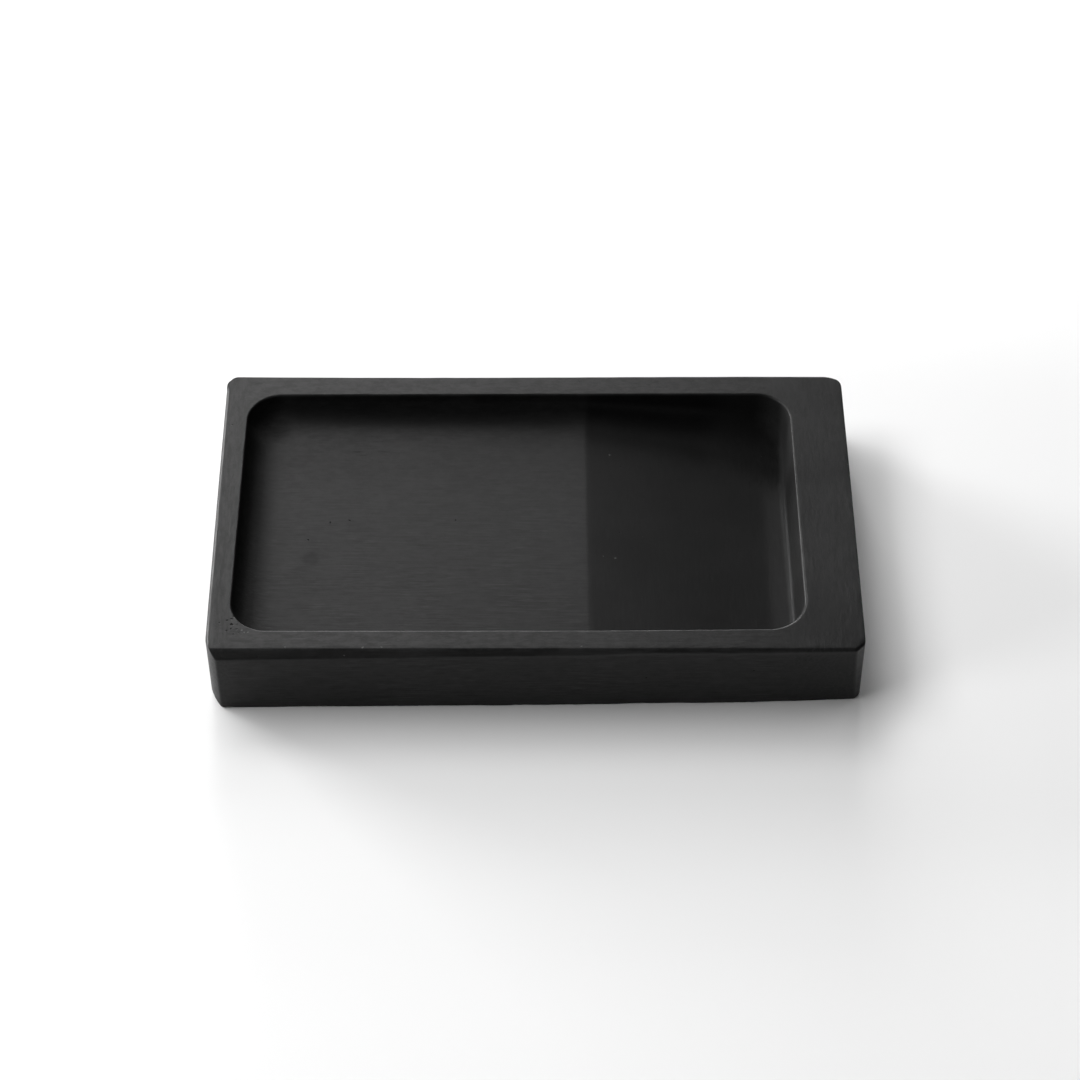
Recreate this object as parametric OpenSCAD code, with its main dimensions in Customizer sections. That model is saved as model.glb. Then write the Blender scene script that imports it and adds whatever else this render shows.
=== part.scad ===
// Inkstone: a rectangular slab of slate with a pool carved into its top face.
// The pool has a raised flat, where ink is ground, and a floor that slopes from it to a deep end,
// where the ink gathers. The stone is one carved block, so it is one solid.
// X runs along the stone, from the grinding end to the deep end. Y runs from front to back and
// Z up. The origin is the middle of the underside of the stone's bounding box. Units: millimetres.

/* [Stone] */
// Length of the stone, at its foot
stone_l = 136.6; // [120:0.1:150]
// Width of the stone, front to back, at its wide left end
stone_w = 78; // [70:0.2:90]
// Height of the stone
stone_h = 18.2; // [16:0.2:24]
// How far the front face runs back towards its right end
front_skew = 1.2; // [0.2:0.1:2]
// How far the foot of the front face leans back at its right end
front_lean = 1.2; // [0.2:0.1:1.5]
// Length of the front face that leans back, counted from its right end
lean_l = 50; // [20:1:90]
// How far the top of the right end face stands in from its foot
right_lean = 0.3; // [0.1:0.1:0.8]

/* [Outer edges] */
// Reach of the 45 degree bevel along the front of the top face, at the left end
front_bevel = 1.7; // [1.3:0.1:2.4]
// Cut of the front left corner, along X and along Y
corner_fl = [2.4, 2.2]; // [0.5:0.1:4]
// Cut of the front right corner, along X and along Y
corner_fr = [2.3, 2.2]; // [0.5:0.1:4]
// Cut of the back right corner, along X and along Y
corner_br = [1.7, 2.0]; // [0.5:0.1:4]
// Cut of the back left corner, along X and along Y
corner_bl = [1.9, 2.1]; // [0.5:0.1:4]
// Radius of the softened top edge at the left end
top_round_left = 0.9; // [0.4:0.1:1.5]
// Small bevel along the back and right edges of the top face
top_bevel = 0.3; // [0.2:0.1:1]
// Radius of the worn lower edge at the left end
foot_round_left = 2.6; // [1:0.1:4]
// Radius of the other lower edges
foot_round = 0.5; // [0.3:0.1:2]

/* [Pool] */
// Width of the rim at the left end
rim_left = 5.1; // [4:0.1:10]
// Width of the rim at the right end
rim_right = 12.2; // [5:0.1:20]
// Width of the rim at the back
rim_back = 5.4; // [4:0.1:10]
// Width of the rim at the front, counted from the outside of the stone at its left end
rim_front = 6.6; // [5:0.1:10]
// Corner radii of the pool: front left, front right, back right, back left
pool_radii = [7.4, 8.3, 7.5, 7.6]; // [7:0.1:14]
// Lean of the pool's walls away from the vertical
wall_draft = 8; // [4:1:14]
// Radius where the walls run into the floor
floor_fillet = 3; // [3:0.1:5]
// Small bevel round the mouth of the pool
mouth_bevel = 0.3; // [0.1:0.1:0.6]

/* [Floor] */
// Depth of the grinding flat below the top face
flat_depth = 5.5; // [5.2:0.1:7]
// Depth of the deep end below the top face
deep_depth = 10.3; // [8:0.1:12]
// Length of the grinding flat, from the pool's left edge to where the slope begins
flat_l = 74.3; // [50:0.5:85]

/* [Hidden] */

// Corners of the stone's bounding box
x0 = -stone_l / 2;
x1 = stone_l / 2;
y0 = -stone_w / 2;
y1 = stone_w / 2;
// Where the front face begins to run back, at the end of the front left corner
front_x0 = x0 + corner_fl[0];
// Corners of the pool's mouth
pool_x0 = x0 + rim_left;
pool_x1 = x1 - rim_right;
pool_y0 = y0 + rim_front;
pool_y1 = y1 - rim_back;
// The slope runs from the end of the flat to where the right corners of the pool begin
slope_x1 = pool_x1 - max(pool_radii[1], pool_radii[2]);
slope_x0 = min(pool_x0 + flat_l, slope_x1 - 2 * floor_fillet);
// Steps in a round edge, in a corner of the pool and in the fillet at its floor
round_steps = 5;
corner_steps = 9;
fillet_steps = 8;
// How far cutting solids stand clear of what they cut
over = 1;
// Size of the block that trims the leaning front face
trim = 2 * stone_l;
quarter = 90;

// Front face's Y at a given X, seen in plan
function front_y(x) = y0 + front_skew * (x - front_x0) / (x1 - front_x0);

// Points of an arc about centre c, from angle a0 to angle a1
function arc(c, r, a0, a1, steps) =
    [for (i = [0 : steps]) let (a = a0 + (a1 - a0) * i / steps) c + r * [cos(a), sin(a)]];

// The stone seen from above: four sides and four cut corners
module plan_outline() {
    polygon([
        [x0, y0 + corner_fl[1]],
        [front_x0, y0],
        [x1 - corner_fr[0], front_y(x1 - corner_fr[0])],
        [x1, front_y(x1) + corner_fr[1]],
        [x1, y1 - corner_br[1]],
        [x1 - corner_br[0], y1],
        [x0 + corner_bl[0], y1],
        [x0, y1 - corner_bl[1]]
    ]);
}

// The stone seen from the front: its left edges are worn rounder, and its right end leans in
module front_outline() {
    polygon(concat(
        arc(
            [x0 + foot_round_left, foot_round_left],
            foot_round_left, 2 * quarter, 3 * quarter, round_steps
        ),
        arc([x1 - foot_round, foot_round], foot_round, -quarter, 0, round_steps),
        [[x1 - right_lean, stone_h - top_bevel], [x1 - right_lean - top_bevel, stone_h]],
        arc(
            [x0 + top_round_left, stone_h - top_round_left],
            top_round_left, quarter, 2 * quarter, round_steps
        )
    ));
}

// The stone seen from its right end: the front top edge has the widest bevel
module end_outline() {
    polygon(concat(
        arc([y0 + foot_round, foot_round], foot_round, 2 * quarter, 3 * quarter, round_steps),
        arc([y1 - foot_round, foot_round], foot_round, -quarter, 0, round_steps),
        [[y1, stone_h - top_bevel], [y1 - top_bevel, stone_h]],
        [[y0 + front_bevel, stone_h], [y0, stone_h - front_bevel]]
    ));
}

// Everything in front of the front face where it leans back, which is only towards its right end
module lean_trim() {
    start = x1 - lean_l;
    turn = atan((front_y(x1) + front_lean - front_y(start)) / lean_l);
    tilt = atan(front_lean * cos(turn) / stone_h);
    translate([start, front_y(start), 0])
        rotate([tilt, 0, turn])
            translate([-trim / 2, -trim, -trim / 2])
                cube(trim);
}

// The block before the pool is carved: the three outlines, each drawn out along its own axis
module block() {
    difference() {
        intersection() {
            linear_extrude(stone_h) plan_outline();
            translate([0, y1 + over, 0])
                rotate([quarter, 0, 0])
                    linear_extrude(stone_w + 2 * over) front_outline();
            translate([x0 - over, 0, 0])
                rotate([quarter, 0, quarter])
                    linear_extrude(stone_l + 2 * over) end_outline();
        }
        lean_trim();
    }
}

// Floor depth at a given X: the flat, the slope and the deep end
function floor_depth(x) =
    flat_depth + (deep_depth - flat_depth) * min(1, max(0, (x - slope_x0) / (slope_x1 - slope_x0)));

// Section through a wall over a floor of depth d, as [inset from the mouth, depth]:
// above the mouth, the foot of its bevel, and then the fillet down to the floor
function wall_section(d) =
    let (
        wall = (d - floor_fillet * (1 - sin(wall_draft))) / cos(wall_draft),
        centre = [wall * sin(wall_draft) + floor_fillet * cos(wall_draft), d - floor_fillet]
    )
    concat(
        [[-mouth_bevel - over, -over], [mouth_bevel * tan(wall_draft), mouth_bevel]],
        [for (i = [0 : fillet_steps])
            let (a = wall_draft + (quarter - wall_draft) * i / fillet_steps)
            centre + floor_fillet * [-cos(a), sin(a)]]
    );

// One corner of the mouth, as [x, y, outward direction]
function mouth_corner(cx, cy, r, a0) =
    [for (i = [0 : corner_steps])
        let (a = a0 + quarter * i / corner_steps)
        [cx + r * cos(a), cy + r * sin(a), a]];

// The mouth, anticlockwise from the left end of the front wall, with a point at each end of the slope
r_fl = pool_radii[0];
r_fr = pool_radii[1];
r_br = pool_radii[2];
r_bl = pool_radii[3];
mouth = concat(
    mouth_corner(pool_x0 + r_fl, pool_y0 + r_fl, r_fl, 2 * quarter),
    [[slope_x0, pool_y0, 3 * quarter], [slope_x1, pool_y0, 3 * quarter]],
    mouth_corner(pool_x1 - r_fr, pool_y0 + r_fr, r_fr, 3 * quarter),
    mouth_corner(pool_x1 - r_br, pool_y1 - r_br, r_br, 0),
    [[slope_x1, pool_y1, quarter], [slope_x0, pool_y1, quarter]],
    mouth_corner(pool_x0 + r_bl, pool_y1 - r_bl, r_bl, quarter)
);

// The space of the pool, as rings that run down the wall section at every point of the mouth
module pool() {
    count = len(mouth);
    rings = fillet_steps + 3;
    corner = corner_steps + 1;
    points = [for (j = [0 : rings - 1], p = mouth)
        let (s = wall_section(floor_depth(p[0]))[j])
        [p[0] - s[0] * cos(p[2]), p[1] - s[0] * sin(p[2]), stone_h - s[1]]];
    walls = [for (j = [0 : rings - 2], i = [0 : count - 1])
        let (a = j * count + i, b = j * count + (i + 1) % count)
        each [[a, b, b + count], [a, b + count, a + count]]];
    last = (rings - 1) * count;
    // Points of the last ring where the slope begins and ends, at the front and at the back
    front_top = corner;
    front_end = corner + 1;
    back_end = 3 * corner + 2;
    back_top = 3 * corner + 3;
    flat_floor = [for (i = [back_top : count + front_top]) last + i % count];
    slope_floor = [for (i = [front_top, front_end, back_end, back_top]) last + i];
    deep_floor = [for (i = [front_end : back_end]) last + i];
    mouth_lid = [for (i = [count - 1 : -1 : 0]) i];
    polyhedron(points, concat([mouth_lid], walls, [flat_floor, slope_floor, deep_floor]));
}

module inkstone() {
    color([0.16, 0.16, 0.16])
        difference() {
            block();
            pool();
        }
}

inkstone();
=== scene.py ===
import math

import bpy
import numpy as np
from mathutils import Matrix, Vector


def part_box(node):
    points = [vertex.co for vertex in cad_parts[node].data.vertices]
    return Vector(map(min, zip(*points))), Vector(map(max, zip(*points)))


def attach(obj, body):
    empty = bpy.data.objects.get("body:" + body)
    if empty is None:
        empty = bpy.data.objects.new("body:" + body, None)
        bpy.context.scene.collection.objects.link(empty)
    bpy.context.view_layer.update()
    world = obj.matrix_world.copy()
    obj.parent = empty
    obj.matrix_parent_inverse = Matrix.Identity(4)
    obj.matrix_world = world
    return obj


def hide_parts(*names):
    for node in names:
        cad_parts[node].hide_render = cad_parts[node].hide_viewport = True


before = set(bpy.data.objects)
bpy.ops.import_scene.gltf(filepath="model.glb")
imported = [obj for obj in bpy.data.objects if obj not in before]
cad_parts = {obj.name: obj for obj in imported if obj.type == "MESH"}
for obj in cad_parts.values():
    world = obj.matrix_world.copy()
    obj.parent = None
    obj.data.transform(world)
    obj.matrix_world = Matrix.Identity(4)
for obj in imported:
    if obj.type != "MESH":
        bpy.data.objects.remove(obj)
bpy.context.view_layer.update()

# The inkstone: one block of slate, carved and honed by hand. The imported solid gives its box, and
# this script gives its surface: soft and uneven edges, drafted pool walls, and the marks of the
# stones that dressed it. Lengths are millimetres until a mesh is made, and then metres.

MM = 0.001

# ---------------------------------------------------------------- dimensions

low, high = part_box("inkstone")
X0, Y0 = low[0] / MM, low[1] / MM
X1, Y1 = high[0] / MM, high[1] / MM
TOP = high[2] / MM

# How far each outer face strays from a plain box. The hollow is (depth, middle, width), and the
# sway is (depth, start, length of a whole wave).
FRONT_SKEW = 1.2
FRONT_BEVEL = 1.7
FRONT_HOLLOW = (0.2, 24.0, 10.0)
LEAN_START = 15.0
FRONT_LEAN = 1.0
RIGHT_LEAN = 0.3
BACK_SWAY = (0.15, 13.5, 154.0)
END_BOW = 0.05
DRESSING = 0.012

# The cut across each corner of the plan, as its reach in X and in Y
CUT_FL = (2.4, 2.2)
CUT_FR = (2.3, 2.2)
CUT_BR = (1.4, 1.7)
CUT_BL = (1.9, 2.1)
# The small bevel over the front right cut
CUT_FR_BEVEL = 0.5

# Radii of the outer edges. The back edge is larger near the right end, and the top edge and the
# foot near the left end, by the second number.
ROUND_FL = 2.2
ROUND_FRONT = 0.2
ROUND_FR = 0.25
ROUND_RIGHT = 0.3
ROUND_BR = 1.1
ROUND_BACK = (0.4, 1.8)
ROUND_BL = 0.6
ROUND_BEVEL = 0.15
ROUND_FR_BEVEL = 0.1
ROUND_TOP = (0.12, 1.0)
ROUND_FOOT = (0.45, 1.4)
# How much wear changes them
EDGE_WEAR = 0.03
FOOT_WEAR = 0.12

# Pool
POOL_X0 = X0 + 5.1
POOL_X1 = X1 - 12.2
POOL_Y0 = Y0 + 6.6
POOL_Y1 = Y1 - 5.4
R_FL = 7.4
R_FR = 8.3
R_BR = 7.5
R_BL = 7.6
# Radius of the mouth's edge, how much it varies, and how much larger it is at the right end and at
# the right end's worn front half
MOUTH_ROUND = 0.33
MOUTH_WEAR = 0.15
MOUTH_RIGHT = 0.12
MOUTH_WORN = 0.35
# The walls are made in sections, which reach this far inside the mouth
INSET = 4.0

# Each wall's draft, and the length and power of the cove at its foot, whose slope dies away as a
# power of the length still to go. The back wall's cove grows longer towards the deep end, and the
# right wall's towards the back.
WALLS = {
    "left": (math.radians(8), 14.0, 3.2),
    "right": (math.radians(7), 1.9, 1.0),
    "back_right": (math.radians(7), 2.4, 1.2),
    "front": (math.radians(8), 4.0, 1.5),
    "back": (math.radians(8), 15.5, 3.3),
    "deep_back": (math.radians(8), 20.0, 3.2),
}

# Floor: its depths, the flat's rise at its left end, where the slope starts and ends, and how softly
# the ridge and the slope's foot turn
FLAT_DEPTH = 5.7
FLAT_RISE = 0.6
DEEP_DEPTH = 10.3
SLOPE_X0 = POOL_X0 + 74.3
SLOPE_X1 = POOL_X1 - 6.05
RIDGE_SOFT = 0.35
DEEP_SOFT = 1.2

# Where the back wall's cove grows, in X, and the right wall's, in Y
TO_DEEP = (SLOPE_X0 - 10, SLOPE_X1)
TO_BACK = (-10.0, 24.0)

# How finely the surface is divided. Each long side has a run of steps before the ridge, one over it
# and one after it.
SIDE_STEPS = (120, 16, 64)
RIDGE_HALF = 2.0
END_STEPS = 100
FAN_STEPS = 28
SECTION_STEPS = 74
FLOOR_ROWS = END_STEPS + FAN_STEPS
# The floor's columns bend within this many of its ends
BENT_COLUMNS = 30
# Points in the dense sections that the surface is then drawn from
UNDER_POINTS = 121
FACE_POINTS = 14
OVER_POINTS = 181
RIM_POINTS = 40
LIP_POINTS = 18
WALL_POINTS = 10
FOOT_POINTS = 60
COVE_STEPS = 240
# What one step along a section covers: this length, or this turn
STEP_LENGTH = 1.2
STEP_TURN = math.radians(8)
# The outer surface is found along rays from a loop this far inside the stone
CORE = 3.0
RAY_REACH = 8.0
RAY_HALVINGS = 24

# The slate's finish: how rough it is, and how strongly it reflects
ROUGHNESS = 0.42
GLOSS = 0.161
# Single marks, as (x, y, radius)
CHIPS = (
    (-60.8, -32.4, 0.3),
    (-60.2, -33.0, 0.22),
    (-59.5, -33.1, 0.2),
    (-51.7, -36.9, 0.3),
    (-35.7, -36.9, 0.25),
    (-31.8, -36.9, 0.3),
    (16.4, 21.4, 0.3),
    (14.5, -7.7, 0.25),
    (17.1, -8.0, 0.3),
)
SMUDGES = (
    (62.5, 34.2, 1.6),
    (-47.9, -9.2, 2.5),
)
UNHONED = (
    (POOL_X1 - 4, POOL_Y1 - 6, 17.0),
    (POOL_X0 + 3, POOL_Y1 - 3, 9.0),
)
WORN = ((-63.3, -31.2, 3.4),)

# The camera's place in metres, how far it looks down and to the right, its roll and focal length
CAMERA_PLACE = (-0.00343, -0.40417, 0.49367)
CAMERA_PITCH = math.radians(50.216)
CAMERA_YAW = math.radians(0.630)
CAMERA_ROLL = math.radians(0.481)
FOCAL_LENGTH = 97.335

# Metres from the stone to each light, and from its middle to the edge of the floor
LIGHT_DISTANCE = 1.3
FLOOR_REACH = 30.0


# ---------------------------------------------------------------- small maths

def smooth(a, b, v):
    """0 below a, 1 above b, and a smooth ramp between."""
    t = np.clip((v - a) / (b - a), 0, 1)
    return t * t * (3 - 2 * t)


def rounded(a, b, r):
    """Both distances at once: the solid inside a and b, its shared edge rounded to r."""
    inner = np.minimum(np.maximum(a, b), -r)
    return inner + np.hypot(np.maximum(a + r, 0), np.maximum(b + r, 0))


def ripple(p, pitch, seed):
    """Smooth random height between about -1 and 1, with swells about pitch long."""
    draw = np.random.default_rng(seed)
    total = np.zeros(p.shape[:-1])
    waves = 12
    for _ in range(waves):
        way = draw.normal(size=3)
        way /= np.linalg.norm(way)
        stretch = draw.uniform(0.7, 1.6)
        phase = draw.uniform(0, 2 * np.pi)
        total += np.sin(2 * np.pi * (p @ way) * stretch / pitch + phase)
    return total / math.sqrt(2 * waves)


# ---------------------------------------------------------------- the outer block

def front_face(x, z):
    """Y of the front face, which runs back to the right.

    It has a slight hollow, and its foot leans in at the right end.
    """
    start = X0 + CUT_FL[0]
    skew = FRONT_SKEW * (x - start) / (X1 - start)
    depth, middle, width = FRONT_HOLLOW
    hollow = depth * np.exp(-(((x - middle) / width) ** 2))
    lean = FRONT_LEAN * (np.maximum(x - LEAN_START, 0) / (X1 - LEAN_START)) ** 2
    return Y0 + np.maximum(skew, 0) + hollow + lean * (1 - z / TOP)


def corner_cut(p, corner, ways, reach):
    """Distance outside a vertical cut across one corner of the plan."""
    normal = np.array([ways[0] * reach[1], ways[1] * reach[0]])
    normal /= np.linalg.norm(normal)
    foot = np.array([corner[0] - ways[0] * reach[0], corner[1]])
    return (p[..., 0] - foot[0]) * normal[0] + (p[..., 1] - foot[1]) * normal[1]


def stone_distance(p):
    """Distance outside the block, before its pool, at each point."""
    x, y, z = p[..., 0], p[..., 1], p[..., 2]
    wear = ripple(p, 9, 11)
    dressing = DRESSING * (ripple(p, 26, 5) - 1)
    bow = END_BOW * (y / Y1) ** 2
    left = X0 + bow - x
    right = x - (X1 - RIGHT_LEAN * z / TOP - bow)
    depth, start, wave = BACK_SWAY
    sway = depth * (1 - np.sin(2 * np.pi * (x - start) / wave))
    back = y - (Y1 - sway)
    front = front_face(x, z) - y
    cut_fl = corner_cut(p, (X0, Y0), (-1, -1), CUT_FL)
    cut_fr = corner_cut(p, (X1, Y0 + FRONT_SKEW), (1, -1), CUT_FR)
    cut_br = corner_cut(p, (X1, Y1), (1, 1), CUT_BR)
    cut_bl = corner_cut(p, (X0, Y1), (-1, 1), CUT_BL)
    bevel = ((z - TOP) - (y - Y0 - FRONT_BEVEL)) / math.sqrt(2)
    bevel_fr = ((z - TOP) + cut_fr + CUT_FR_BEVEL) / math.sqrt(2)
    by_right = smooth(X1 - 9, X1 - 4, x)
    by_left = 1 - smooth(X0 + 2, X0 + 5, x)
    by_left = by_left * smooth(Y0 + 1.8, Y0 + 4, y) * (1 - smooth(Y1 - 4, Y1 - 2, y))
    foot_left = 1 - smooth(X0 + 0.5, X0 + 3, x)
    body = rounded(left, cut_fl, ROUND_FL)
    body = rounded(body, front, ROUND_FRONT)
    body = rounded(body, cut_fr, ROUND_FR)
    body = rounded(body, right, ROUND_RIGHT)
    body = rounded(body, cut_br, ROUND_BR)
    body = rounded(body, back, ROUND_BACK[0] + ROUND_BACK[1] * by_right)
    body = rounded(body, cut_bl, ROUND_BL)
    body = rounded(body, bevel, ROUND_BEVEL + EDGE_WEAR * wear)
    body = rounded(body, bevel_fr, ROUND_FR_BEVEL)
    body = rounded(body, z - TOP, ROUND_TOP[0] + ROUND_TOP[1] * by_left + EDGE_WEAR * wear)
    body = rounded(body, -z, ROUND_FOOT[0] + ROUND_FOOT[1] * foot_left + FOOT_WEAR * wear)
    return body - dressing * smooth(0.2, 2.0, z) * smooth(0, 1.5, TOP - z)


# ---------------------------------------------------------------- the pool

def floor_depth(x):
    """Depth of the floor: the dished grinding flat, a soft ridge, the slope and the deep end."""
    fall = (DEEP_DEPTH - FLAT_DEPTH) / (SLOPE_X1 - SLOPE_X0)
    past = x - SLOPE_X0
    run = (past + np.hypot(past, RIDGE_SOFT)) / 2
    before = np.minimum(past, 0) / (SLOPE_X0 - POOL_X0)
    depth = FLAT_DEPTH + fall * run - FLAT_RISE * before ** 2
    over = depth - DEEP_DEPTH
    soft = DEEP_SOFT * fall
    return depth - (over + np.hypot(over, soft)) / 2


def wall_shape(x, y, way):
    """Draft, cove length and cove power of the wall at a point that faces that way, outwards."""
    down = smooth(*TO_DEEP, x)
    behind = smooth(*TO_BACK, y)
    weights = {
        "left": max(-way[0], 0) ** 2,
        "right": max(way[0], 0) ** 2 * (1 - behind),
        "back_right": max(way[0], 0) ** 2 * behind,
        "front": max(-way[1], 0) ** 2,
        "back": max(way[1], 0) ** 2 * (1 - down),
        "deep_back": max(way[1], 0) ** 2 * down,
    }
    return sum(weights[name] * np.array(WALLS[name]) for name in WALLS)


def mouth_sway(x, y, way):
    """How far the hand-cut mouth strays outwards from its plan, at a point that faces that way."""
    front = 0.2 - 0.36 * smooth(0, 50, x)
    back = 0.0035 * x
    left = 0.1 - 0.0078 * y
    weights = np.maximum([-way[1], way[1], -way[0]], 0) ** 2
    return float(np.dot(weights, [front, back, left]))


def cove(shape):
    """Inset and rise of a cove, from where it leaves the wall to where it meets the floor."""
    draft, length, power = shape
    to_go = np.linspace(1, 0, COVE_STEPS + 1)
    slope = (math.pi / 2 - draft) * ((to_go[1:] + to_go[:-1]) / 2) ** power
    inset = np.concatenate([[0], np.cumsum(np.cos(slope))]) * length / COVE_STEPS
    fall = np.concatenate([[0], np.cumsum(np.sin(slope))]) * length / COVE_STEPS
    return inset, fall[-1] - fall


def wall_section(depth, mouth, shape):
    """Wall over a floor of that depth, from the rim to INSET inside, as (inset, depth) pairs."""
    draft = shape[0]
    turn = math.pi / 2 - draft
    back = mouth * math.tan(turn / 2)
    a = np.linspace(0, turn, LIP_POINTS)
    lip = np.stack([-back + mouth * np.sin(a), mouth - mouth * np.cos(a)], 1)
    inset, rise = cove(shape)
    length = (depth - rise[0]) / math.cos(draft)
    along = np.linspace(back, length, WALL_POINTS + 2)[1:-1]
    wall = np.stack([along * math.sin(draft), along * math.cos(draft)], 1)
    inset = inset + length * math.sin(draft)
    place = np.arange(len(inset))
    kept = np.linspace(0, np.interp(INSET, inset, place), FOOT_POINTS + 1)[:-1]
    foot = np.stack([np.interp(kept, place, inset), depth - np.interp(kept, place, rise)], 1)
    last = (INSET, depth - np.interp(INSET, inset, rise))
    return np.concatenate([lip, wall, foot, [last]])


def wall_rise(gap, depth, near, far=None, part=0):
    """Rise of the floor beside one wall, at a gap from its mouth, all as arrays.

    The wall changes from the shape named near to the one named far, by the part given.
    """
    total = 0
    for name, share in ((near, 1 - part), (far or near, part)):
        draft, length, power = WALLS[name]
        inset, rise = cove((draft, length, power))
        along = gap - (depth - rise[0]) * math.tan(draft)
        total = total + share * np.interp(along, inset, rise)
    return total


def floor_height(x, y):
    """Z of the pool's floor, away from its walls."""
    depth = floor_depth(x)
    rises = (
        wall_rise(x - POOL_X0, depth, "left"),
        wall_rise(y - POOL_Y0, depth, "front"),
        wall_rise(POOL_X1 - x, depth, "right", "back_right", smooth(*TO_BACK, y)),
        wall_rise(POOL_Y1 - y, depth, "back", "deep_back", smooth(*TO_DEEP, x)),
    )
    return TOP - depth + np.sqrt(sum(rise ** 2 for rise in rises))


def section_depth(end, shape):
    """Depth that makes a wall's section meet the floor that all the walls share, at its end."""
    inset, rise = cove(shape)
    inset = inset + (floor_depth(end[0]) - rise[0]) * math.tan(shape[0])
    return TOP - floor_height(*end) + np.interp(INSET, inset, rise)


# ---------------------------------------------------------------- round the stone

def spaced(ends, counts):
    """Numbers through each of ends, with counts[i] even steps between ends i and i + 1."""
    runs = [np.linspace(a, b, n + 1)[:-1] for a, b, n in zip(ends, ends[1:], counts)]
    return np.concatenate(runs + [[ends[-1]]])


def loops():
    """The core loop and the mouth of the pool, anticlockwise, with their outward directions.

    Both have the same count of points, so that a section joins each to its partner. Four sides
    alternate with four fans, one fan at each corner. Near the ridge the two loops share their X.
    """
    cx0, cx1, cy0, cy1 = X0 + CORE, X1 - CORE, Y0 + CORE, Y1 - CORE
    near = (SLOPE_X0 - RIDGE_HALF, SLOPE_X0 + RIDGE_HALF)
    front = spaced((POOL_X0 + R_FL, *near, POOL_X1 - R_FR), SIDE_STEPS)
    back = spaced((POOL_X0 + R_BL, *near, POOL_X1 - R_BR), SIDE_STEPS)
    core_x = spaced((cx0, *near, cx1), SIDE_STEPS)
    core_y = spaced((cy0, cy1), (END_STEPS,))
    right = spaced((POOL_Y0 + R_FR, POOL_Y1 - R_BR), (END_STEPS,))
    left = spaced((POOL_Y0 + R_FL, POOL_Y1 - R_BL), (END_STEPS,))
    fan = np.linspace(0, math.pi / 2, FAN_STEPS + 1)[1:-1]
    quarter = math.pi / 2
    core_points, mouth_points, angles = [], [], []

    def side(core_xy, mouth_xy, angle):
        core_points.extend(core_xy)
        mouth_points.extend(mouth_xy)
        angles.extend([angle] * len(core_xy))

    def corner(core_at, centre, r, start):
        for step in fan:
            a = start + step
            core_points.append(core_at)
            mouth_points.append((centre[0] + r * math.cos(a), centre[1] + r * math.sin(a)))
            angles.append(a)

    side([(x, cy0) for x in core_x], [(x, POOL_Y0) for x in front], -quarter)
    corner((cx1, cy0), (POOL_X1 - R_FR, POOL_Y0 + R_FR), R_FR, -quarter)
    side([(cx1, y) for y in core_y], [(POOL_X1, y) for y in right], 0)
    corner((cx1, cy1), (POOL_X1 - R_BR, POOL_Y1 - R_BR), R_BR, 0)
    side([(x, cy1) for x in core_x[::-1]], [(x, POOL_Y1) for x in back[::-1]], quarter)
    corner((cx0, cy1), (POOL_X0 + R_BL, POOL_Y1 - R_BL), R_BL, quarter)
    side([(cx0, y) for y in core_y[::-1]], [(POOL_X0, y) for y in left[::-1]], 2 * quarter)
    corner((cx0, cy0), (POOL_X0 + R_FL, POOL_Y0 + R_FL), R_FL, 2 * quarter)
    return np.array(core_points), np.array(mouth_points), np.array(angles)


def outer_sections(core, angles):
    """Dense outer sections, from under the stone, up its side and over its top edge."""
    down = np.radians(np.linspace(-90, 0, UNDER_POINTS))
    up = np.radians(np.linspace(0, 90, OVER_POINTS))
    lift = np.concatenate([down, np.zeros(FACE_POINTS), up])
    rise = np.linspace(CORE, TOP - CORE, FACE_POINTS + 2)[1:-1]
    height = np.concatenate([
        np.full(UNDER_POINTS, CORE),
        rise,
        np.full(OVER_POINTS, TOP - CORE),
    ])
    shape = (len(core), len(lift))
    start = np.zeros(shape + (3,))
    start[..., :2] = core[:, None]
    start[..., 2] = height[None]
    way = np.zeros(shape + (3,))
    way[..., 0] = np.cos(angles)[:, None] * np.cos(lift)[None]
    way[..., 1] = np.sin(angles)[:, None] * np.cos(lift)[None]
    way[..., 2] = np.sin(lift)[None]
    near, far = np.zeros(shape), np.full(shape, RAY_REACH)
    for _ in range(RAY_HALVINGS):
        middle = (near + far) / 2
        inside = stone_distance(start + way * middle[..., None]) < 0
        near = np.where(inside, middle, near)
        far = np.where(inside, far, middle)
    return start + way * near[..., None]


def inner_sections(core, mouth, angles):
    """Dense inner sections, from the rim over the mouth's edge and down the wall to the floor."""
    out = np.stack([np.cos(angles), np.sin(angles)], 1)
    at = np.concatenate([mouth, np.full((len(mouth), 1), TOP)], 1)
    by_right = np.maximum(out[:, 0], 0)
    worn = by_right * (1 - smooth(-20, 5, mouth[:, 1]))
    lips = MOUTH_ROUND * (1 + MOUTH_WEAR * ripple(at, 7, 21)) + MOUTH_WORN * worn
    lips = lips + MOUTH_RIGHT * by_right
    sections = []
    for c, m, o, lip in zip(core, mouth, out, lips):
        m = m + o * mouth_sway(*m, o)
        end = m - INSET * o
        shape = wall_shape(*end, o)
        pairs = wall_section(section_depth(end, shape), lip, shape)
        wall = np.empty((len(pairs), 3))
        wall[:, :2] = m - pairs[:, :1] * o
        # The section runs into the floor that all the walls share
        shared = smooth(INSET / 2, INSET, pairs[:, 0])
        wall[:, 2] = (1 - shared) * (TOP - pairs[:, 1]) + shared * floor_height(*wall[:, :2].T)
        rim = np.linspace((*c, TOP), wall[0], RIM_POINTS + 2)[1:-1]
        sections.append(np.concatenate([rim, wall]))
    return np.array(sections)


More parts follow.
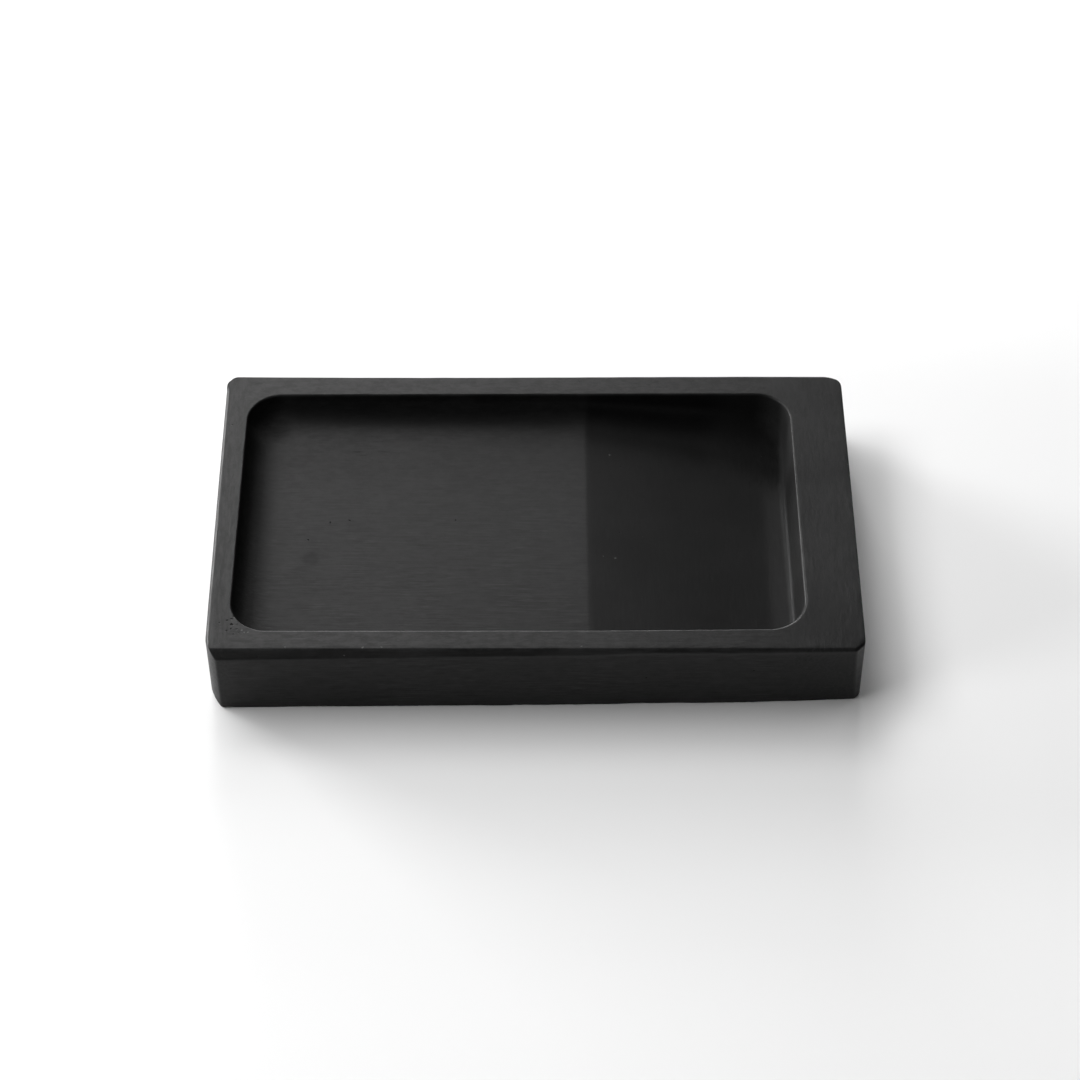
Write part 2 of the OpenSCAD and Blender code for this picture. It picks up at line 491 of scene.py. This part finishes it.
def resample(sections, steps):
    """Each dense section as steps + 1 points, closer together where it bends."""
    leg = np.diff(sections, axis=1)
    length = np.linalg.norm(leg, axis=2)
    unit = leg / np.maximum(length, 1e-9)[..., None]
    turn = np.arccos(np.clip((unit[:, 1:] * unit[:, :-1]).sum(2), -1, 1))
    cost = length / STEP_LENGTH
    cost[:, 1:] += turn / STEP_TURN / 2
    cost[:, :-1] += turn / STEP_TURN / 2
    # Neighbouring sections divide alike
    for _ in range(6):
        cost = (np.roll(cost, 1, 0) + 2 * cost + np.roll(cost, -1, 0)) / 4
    run = np.concatenate([np.zeros((len(cost), 1)), np.cumsum(cost, 1)], 1)
    even = np.linspace(0, 1, steps + 1)
    result = np.empty((len(sections), steps + 1, 3))
    for i, (section, spent) in enumerate(zip(sections, run)):
        for axis in range(3):
            result[i, :, axis] = np.interp(even, spent / spent[-1], section[:, axis])
    return result


# ---------------------------------------------------------------- the floor

def floor_patch(ring):
    """A grid over the floor inside the last ring: its indices by row and column, and its new points.

    The ring is split at the middle of each fan. Columns run straight from front to back, so that
    the ridge is straight, and bend to meet the ring only near its two ends.
    """
    count = len(ring)
    half = FAN_STEPS // 2
    columns = sum(SIDE_STEPS) + FAN_STEPS
    rows = FLOOR_ROWS
    start = count - half
    walk = (start + np.arange(count)) % count
    front = walk[:columns + 1]
    right = walk[columns:columns + rows + 1]
    back = walk[columns + rows:2 * columns + rows + 1][::-1]
    left = np.append(walk[2 * columns + rows:], walk[0])[::-1]
    index = np.full((rows + 1, columns + 1), -1)
    index[0], index[-1] = front, back
    index[:, 0], index[:, -1] = left, right
    v = np.linspace(0, 1, rows + 1)[:, None, None]
    xy = ring[:, :2]
    grid = (1 - v) * xy[front][None] + v * xy[back][None]
    # How much each column bends towards the left end and towards the right
    u = np.arange(columns + 1)
    near_left = np.clip(1 - u / BENT_COLUMNS, 0, 1) ** 2
    near_right = np.clip(1 - (columns - u) / BENT_COLUMNS, 0, 1) ** 2
    grid = grid + near_left[None, :, None] * (xy[left] - grid[:, 0])[:, None]
    grid = grid + near_right[None, :, None] * (xy[right] - grid[:, -1])[:, None]
    new = []
    for r in range(1, rows):
        for c in range(1, columns):
            index[r, c] = count + len(new)
            new.append(grid[r, c])
    x, y = np.array(new).T
    return index, np.stack([x, y, floor_height(x, y)], 1)


# ---------------------------------------------------------------- the whole stone

def stone_mesh():
    """Points and faces of the stone: rings round it, a flat underside and the floor's grid."""
    core, mouth, angles = loops()
    dense = np.concatenate([outer_sections(core, angles), inner_sections(core, mouth, angles)], 1)
    rings = resample(dense, SECTION_STEPS)
    around, along = rings.shape[:2]
    points = rings.transpose(1, 0, 2).reshape(-1, 3)
    faces = []
    for j in range(along - 1):
        for i in range(around):
            k = (i + 1) % around
            row, after = j * around, (j + 1) * around
            faces.append((row + i, row + k, after + k, after + i))
    faces.append(tuple(range(around))[::-1])
    base = (along - 1) * around
    index, new = floor_patch(rings[:, -1])
    points = np.concatenate([points, new])
    index = index + base
    for r in range(index.shape[0] - 1):
        for c in range(index.shape[1] - 1):
            faces.append((index[r, c], index[r, c + 1], index[r + 1, c + 1], index[r + 1, c]))
    return points, faces


def carved_stone():
    points, faces = stone_mesh()
    mesh = bpy.data.meshes.new("carved_inkstone")
    mesh.from_pydata((points * MM).tolist(), [], [tuple(int(v) for v in f) for f in faces])
    mesh.validate()
    mesh.shade_smooth()
    mesh.update()
    stone = bpy.data.objects.new("carved_inkstone", mesh)
    bpy.context.scene.collection.objects.link(stone)
    return stone


# ---------------------------------------------------------------- material

class Nodes:
    """Adds nodes to one material. Each method returns the output of the node that it adds."""

    def __init__(self, material):
        self.tree = material.node_tree

    def add(self, kind, output, inputs, **settings):
        node = self.tree.nodes.new(kind)
        for name, value in settings.items():
            setattr(node, name, value)
        for socket, value in inputs.items():
            if isinstance(value, bpy.types.NodeSocket):
                self.tree.links.new(value, node.inputs[socket])
            else:
                node.inputs[socket].default_value = value
        return node.outputs[output]

    def maths(self, operation, a, b=0.0):
        return self.add("ShaderNodeMath", 0, {0: a, 1: b}, operation=operation)

    def plus(self, *terms):
        total = terms[0]
        for term in terms[1:]:
            total = self.maths("ADD", total, term)
        return total

    def times(self, *terms):
        total = terms[0]
        for term in terms[1:]:
            total = self.maths("MULTIPLY", total, term)
        return total

    def fade(self, value, start, end, low=0.0, high=1.0):
        """Goes from low to high as the value goes from start to end."""
        inputs = {0: value, 1: start, 2: end, 3: low, 4: high}
        return self.add("ShaderNodeMapRange", 0, inputs, interpolation_type="SMOOTHSTEP")

    def mix(self, amount, a, b):
        inputs = {0: amount, 2: a, 3: b}
        return self.add("ShaderNodeMix", 0, inputs, data_type="FLOAT")

    def sized(self, place, sizes, shift=0.0):
        """Coordinates in which one unit is sizes millimetres long."""
        scale = [1 / size for size in sizes]
        inputs = {0: place, 1: scale, 2: (shift, shift, shift)}
        return self.add("ShaderNodeVectorMath", 0, inputs, operation="MULTIPLY_ADD")

    def noise(self, place, sizes, shift, detail=2.0, roughness=0.5):
        inputs = {
            "Vector": self.sized(place, sizes, shift),
            "Scale": 1.0,
            "Detail": detail,
            "Roughness": roughness,
        }
        return self.add("ShaderNodeTexNoise", "Fac", inputs)

    def cells(self, place, size, shift, radius, share):
        """Small round spots, in a share of the cells of that size."""
        inputs = {"Vector": self.sized(place, (size, size, size), shift), "Scale": 1.0}
        node_kind = "ShaderNodeTexVoronoi"
        distance = self.add(node_kind, "Distance", inputs)
        colour = self.add(node_kind, "Color", inputs)
        chance = self.add("ShaderNodeSeparateColor", 0, {0: colour})
        chosen = self.maths("LESS_THAN", chance, share)
        return self.times(self.fade(distance, radius / size, 0.5 * radius / size), chosen)

    def spots(self, place, marks):
        """Round spots at the places in marks, as (x, y, radius) in millimetres."""
        flat = self.add("ShaderNodeVectorMath", 0, {0: place, 1: (1, 1, 0)}, operation="MULTIPLY")
        found = 0.0
        for x, y, radius in marks:
            inputs = {0: flat, 1: (x, y, 0)}
            gap = self.add("ShaderNodeVectorMath", "Value", inputs, operation="DISTANCE")
            found = self.maths("MAXIMUM", found, self.fade(gap, radius, 0.4 * radius))
        return found


def slate():
    """Black slate, honed along the flat and the long rims, and across the slope and the ends.

    Sizes of noise and cells are in millimetres.
    """
    material = bpy.data.materials.new("slate")
    material.use_nodes = True
    shader = material.node_tree.nodes["Principled BSDF"]
    n = Nodes(material)
    metres = n.add("ShaderNodeTexCoord", "Object", {})
    place = n.add("ShaderNodeVectorMath", 0, {0: metres, "Scale": 1 / MM}, operation="SCALE")
    axes = {0: place}
    x, y, z = (n.add("ShaderNodeSeparateXYZ", axis, axes) for axis in range(3))

    # Where the point is
    rim = n.fade(z, TOP - 0.6, TOP - 0.1)
    within = n.times(
        n.fade(x, POOL_X0 - 0.9, POOL_X0 - 0.4),
        n.fade(x, POOL_X1 + 0.9, POOL_X1 + 0.4),
        n.fade(y, POOL_Y0 - 0.9, POOL_Y0 - 0.4),
        n.fade(y, POOL_Y1 + 0.9, POOL_Y1 + 0.4),
    )
    pool = n.times(within, n.maths("SUBTRACT", 1.0, rim))
    slope = n.times(pool, n.fade(x, SLOPE_X0 - 0.5, SLOPE_X0 + 1.5))
    ends = n.plus(n.fade(x, POOL_X1 - 9.0, POOL_X1 + 1.5), n.fade(x, POOL_X0 + 0.5, POOL_X0 - 1.0))
    across = n.maths("MAXIMUM", slope, n.maths("MINIMUM", ends, 1.0))
    edge = n.times(n.fade(z, TOP - 0.5, TOP - 0.12), n.fade(z, TOP - 0.005, TOP - 0.05))

    # A small random shift makes round marks uneven
    wander = n.add("ShaderNodeTexNoise", "Color", {"Vector": place, "Scale": 1.5, "Detail": 2.0})
    wander = n.add("ShaderNodeVectorMath", 0, {0: wander, 1: (0.5, 0.5, 0.5)}, operation="SUBTRACT")
    wander = n.add("ShaderNodeVectorMath", 0, {0: wander, "Scale": 0.8}, operation="SCALE")
    shaken = n.add("ShaderNodeVectorMath", 0, {0: place, 1: wander}, operation="ADD")

    # Clouding, and the marks of the dressing stones
    clouds = n.noise(place, (26, 18, 18), 3.0, 4.0, 0.55)
    patches = n.noise(place, (9, 6, 6), 17.0, 3.0, 0.5)
    streaks = n.mix(
        across,
        n.noise(place, (6, 0.4, 0.4), 0.0, 3.0, 0.6),
        n.noise(place, (0.4, 6, 0.4), 5.0, 3.0, 0.6),
    )
    scratches = n.mix(
        across,
        n.noise(place, (5, 0.3, 0.3), 31.0, 1.0),
        n.noise(place, (0.3, 5, 0.3), 37.0, 1.0),
    )
    worked = n.times(n.fade(y, 20.0, -15.0, 0.3, 1.0), n.fade(patches, 0.35, 0.6, 0.4, 1.0))
    pale_lines = n.times(n.fade(scratches, 0.60, 0.72), n.fade(patches, 0.35, 0.6), worked)
    dark_lines = n.times(n.fade(scratches, 0.38, 0.26), n.fade(patches, 0.65, 0.4))
    lines = n.times(n.fade(streaks, 0.3, 0.7, -0.5, 0.5), worked)
    grain = n.noise(place, (0.35, 0.35, 0.35), 11.0, 2.0, 0.6)
    scuffs = n.mix(
        across,
        n.noise(shaken, (2.2, 1.1, 1.1), 43.0, 5.0, 0.65),
        n.noise(shaken, (0.7, 3.0, 1.1), 47.0, 5.0, 0.65),
    )
    scuffs = n.fade(scuffs, 0.35, 0.65, -0.5, 0.5)
    scuffs = n.times(scuffs, n.mix(rim, 0.6, 1.6))

    # Pits, chips and smudges
    worn_corner = n.spots(place, WORN)
    pits = n.maths(
        "MAXIMUM",
        n.times(n.cells(shaken, 1.0, 2.0, 0.33, 0.7), worn_corner, rim),
        n.cells(shaken, 4.5, 9.0, 0.26, 0.3),
    )
    chips = n.maths("MAXIMUM", n.spots(shaken, CHIPS), n.cells(shaken, 8.0, 23.0, 0.2, 0.3))
    smudges = n.spots(shaken, SMUDGES)
    # The honing stone doesn't reach into the back corners of the pool
    unhoned = n.times(n.spots(place, UNHONED), pool)

    # Colour, finish and relief
    sides = n.fade(z, TOP - 2.0, TOP - 1.0, 0.004, 0.011)
    # The top is painted lighter at the left end and darker at the right: painted light, falling off
    # away from the lamps on the left.
    stone = n.mix(rim, sides, n.fade(x, X0, X1, 0.013, 0.005))
    # The pool's colour carries painted light and shade. The slope and the deep end are painted
    # darker, as painted shade where they face away from the lamps on the left. The right end wall
    # and its foot are painted lighter, as painted light from those lamps, which that wall faces.
    lit_end_wall = n.fade(x, POOL_X1 - 2.4, POOL_X1 - 1.2)
    pool_colour_and_painted_light = n.mix(lit_end_wall, n.mix(slope, 0.003, 0.001), 0.009)
    tone = n.times(n.mix(pool, stone, pool_colour_and_painted_light), n.fade(clouds, 0.3, 0.7, 0.7, 1.3))
    marks = n.plus(
        n.times(lines, 0.005),
        n.times(pale_lines, 0.006),
        n.times(scuffs, 0.004),
        0.0015,
    )
    # The marks fade to less than half on the slope, which deepens its painted shade.
    marks = n.times(marks, n.fade(slope, 0.0, 1.0, 1.0, 0.4))
    grey = n.plus(tone, marks, n.times(edge, n.fade(patches, 0.4, 0.6), 0.005))
    # The pits are painted much darker: painted shade inside them, on top of their sunk relief and
    # rougher finish. The smudges are darker stains.
    grey = n.times(grey, n.fade(pits, 0.0, 1.0, 1.0, 0.1), n.fade(smudges, 0.0, 1.0, 1.0, 0.5))
    grey = n.maths("MAXIMUM", n.plus(grey, n.times(chips, 0.045)), 0.0005)
    colour = n.add("ShaderNodeCombineColor", 0, {0: grey, 1: grey, 2: grey})
    rough = n.plus(
        ROUGHNESS,
        n.fade(clouds, 0.3, 0.7, -0.03, 0.03),
        n.times(lines, -0.05),
        n.times(scuffs, -0.06),
        n.fade(patches, 0.3, 0.7, -0.015, 0.015),
        n.times(dark_lines, 0.15),
        n.times(pits, 0.4),
        n.times(smudges, 0.08),
        n.times(unhoned, 0.3),
        n.times(n.fade(x, POOL_X1 - 7.0, POOL_X1 - 5.0), pool, 0.07),
    )
    relief = n.plus(
        n.times(lines, 0.006),
        n.times(pale_lines, 0.003),
        n.times(dark_lines, -0.004),
        n.times(grain, 0.003),
        n.times(scuffs, 0.006),
        n.times(patches, 0.02),
        n.times(pits, -0.10),
        n.times(chips, -0.02),
    )
    normal = n.add("ShaderNodeBump", 0, {"Height": relief, "Strength": 1.0, "Distance": MM})
    n.tree.links.new(colour, shader.inputs["Base Color"])
    n.tree.links.new(rough, shader.inputs["Roughness"])
    n.tree.links.new(normal, shader.inputs["Normal"])
    shader.inputs["Specular IOR Level"].default_value = GLOSS
    return material


def floor_material():
    material = bpy.data.materials.new("pale_floor")
    material.use_nodes = True
    shader = material.node_tree.nodes["Principled BSDF"]
    shader.inputs["Base Color"].default_value = (0.92, 0.92, 0.92, 1)
    shader.inputs["Roughness"].default_value = 0.9
    shader.inputs["Specular IOR Level"].default_value = 0.0
    return material


# ---------------------------------------------------------------- stage

def floor():
    mesh = bpy.data.meshes.new("floor")
    signs = ((-1, -1), (1, -1), (1, 1), (-1, 1))
    corners = [(a * FLOOR_REACH, b * FLOOR_REACH, 0) for a, b in signs]
    mesh.from_pydata(corners, [], [(0, 1, 2, 3)])
    ground = bpy.data.objects.new("floor", mesh)
    bpy.context.scene.collection.objects.link(ground)
    ground.data.materials.append(floor_material())


def camera():
    """Looks down over the front of the stone, turned a hair to the right and rolled as little."""
    forward = Vector((
        math.sin(CAMERA_YAW) * math.cos(CAMERA_PITCH),
        math.cos(CAMERA_YAW) * math.cos(CAMERA_PITCH),
        -math.sin(CAMERA_PITCH),
    ))
    level = Vector((math.cos(CAMERA_YAW), -math.sin(CAMERA_YAW), 0))
    over = level.cross(forward)
    right = math.cos(CAMERA_ROLL) * level + math.sin(CAMERA_ROLL) * over
    up = math.cos(CAMERA_ROLL) * over - math.sin(CAMERA_ROLL) * level
    lens = bpy.data.cameras.new("camera")
    lens.lens = FOCAL_LENGTH
    lens.sensor_width = 36
    eye = bpy.data.objects.new("camera", lens)
    turn = Matrix((right, up, -forward)).transposed().to_4x4()
    eye.matrix_world = Matrix.Translation(CAMERA_PLACE) @ turn
    bpy.context.scene.collection.objects.link(eye)
    bpy.context.scene.camera = eye


def softbox(name, azimuth, elevation, width, height, watts):
    """A soft light that faces the stone. Azimuth 0 is behind it, and turns towards +X."""
    turn, lift = math.radians(azimuth), math.radians(elevation)
    away = Vector((
        math.sin(turn) * math.cos(lift),
        math.cos(turn) * math.cos(lift),
        math.sin(lift),
    ))
    lamp = bpy.data.lights.new(name, "AREA")
    lamp.shape = "RECTANGLE"
    lamp.size = width
    lamp.size_y = height
    lamp.energy = watts
    box = bpy.data.objects.new(name, lamp)
    box.location = away * LIGHT_DISTANCE
    box.rotation_euler = away.to_track_quat("Z", "Y").to_euler()
    bpy.context.scene.collection.objects.link(box)


def lights():
    """Soft light from the left and from behind, low and high, with a little from the right."""
    softbox("left_low", -110, 10, 0.5, 0.4, 11.8)
    softbox("window_low", -55, 10, 0.5, 0.4, 17.2)
    softbox("back_low", -5, 10, 0.5, 0.4, 10.3)
    softbox("front_low", 150, 10, 0.5, 0.4, 1.2)
    softbox("back_middle", 0, 30, 0.5, 0.5, 4.5)
    softbox("left_high", -80, 52, 0.6, 0.5, 7.2)
    softbox("window_high", -25, 52, 0.6, 0.5, 6.5)
    softbox("right_high", 60, 52, 0.6, 0.5, 1.05)


bpy.context.scene.view_settings.view_transform = "Standard"
camera()
lights()
floor()

stone = carved_stone()
stone.data.materials.append(slate())
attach(stone, "root")
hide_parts("inkstone")
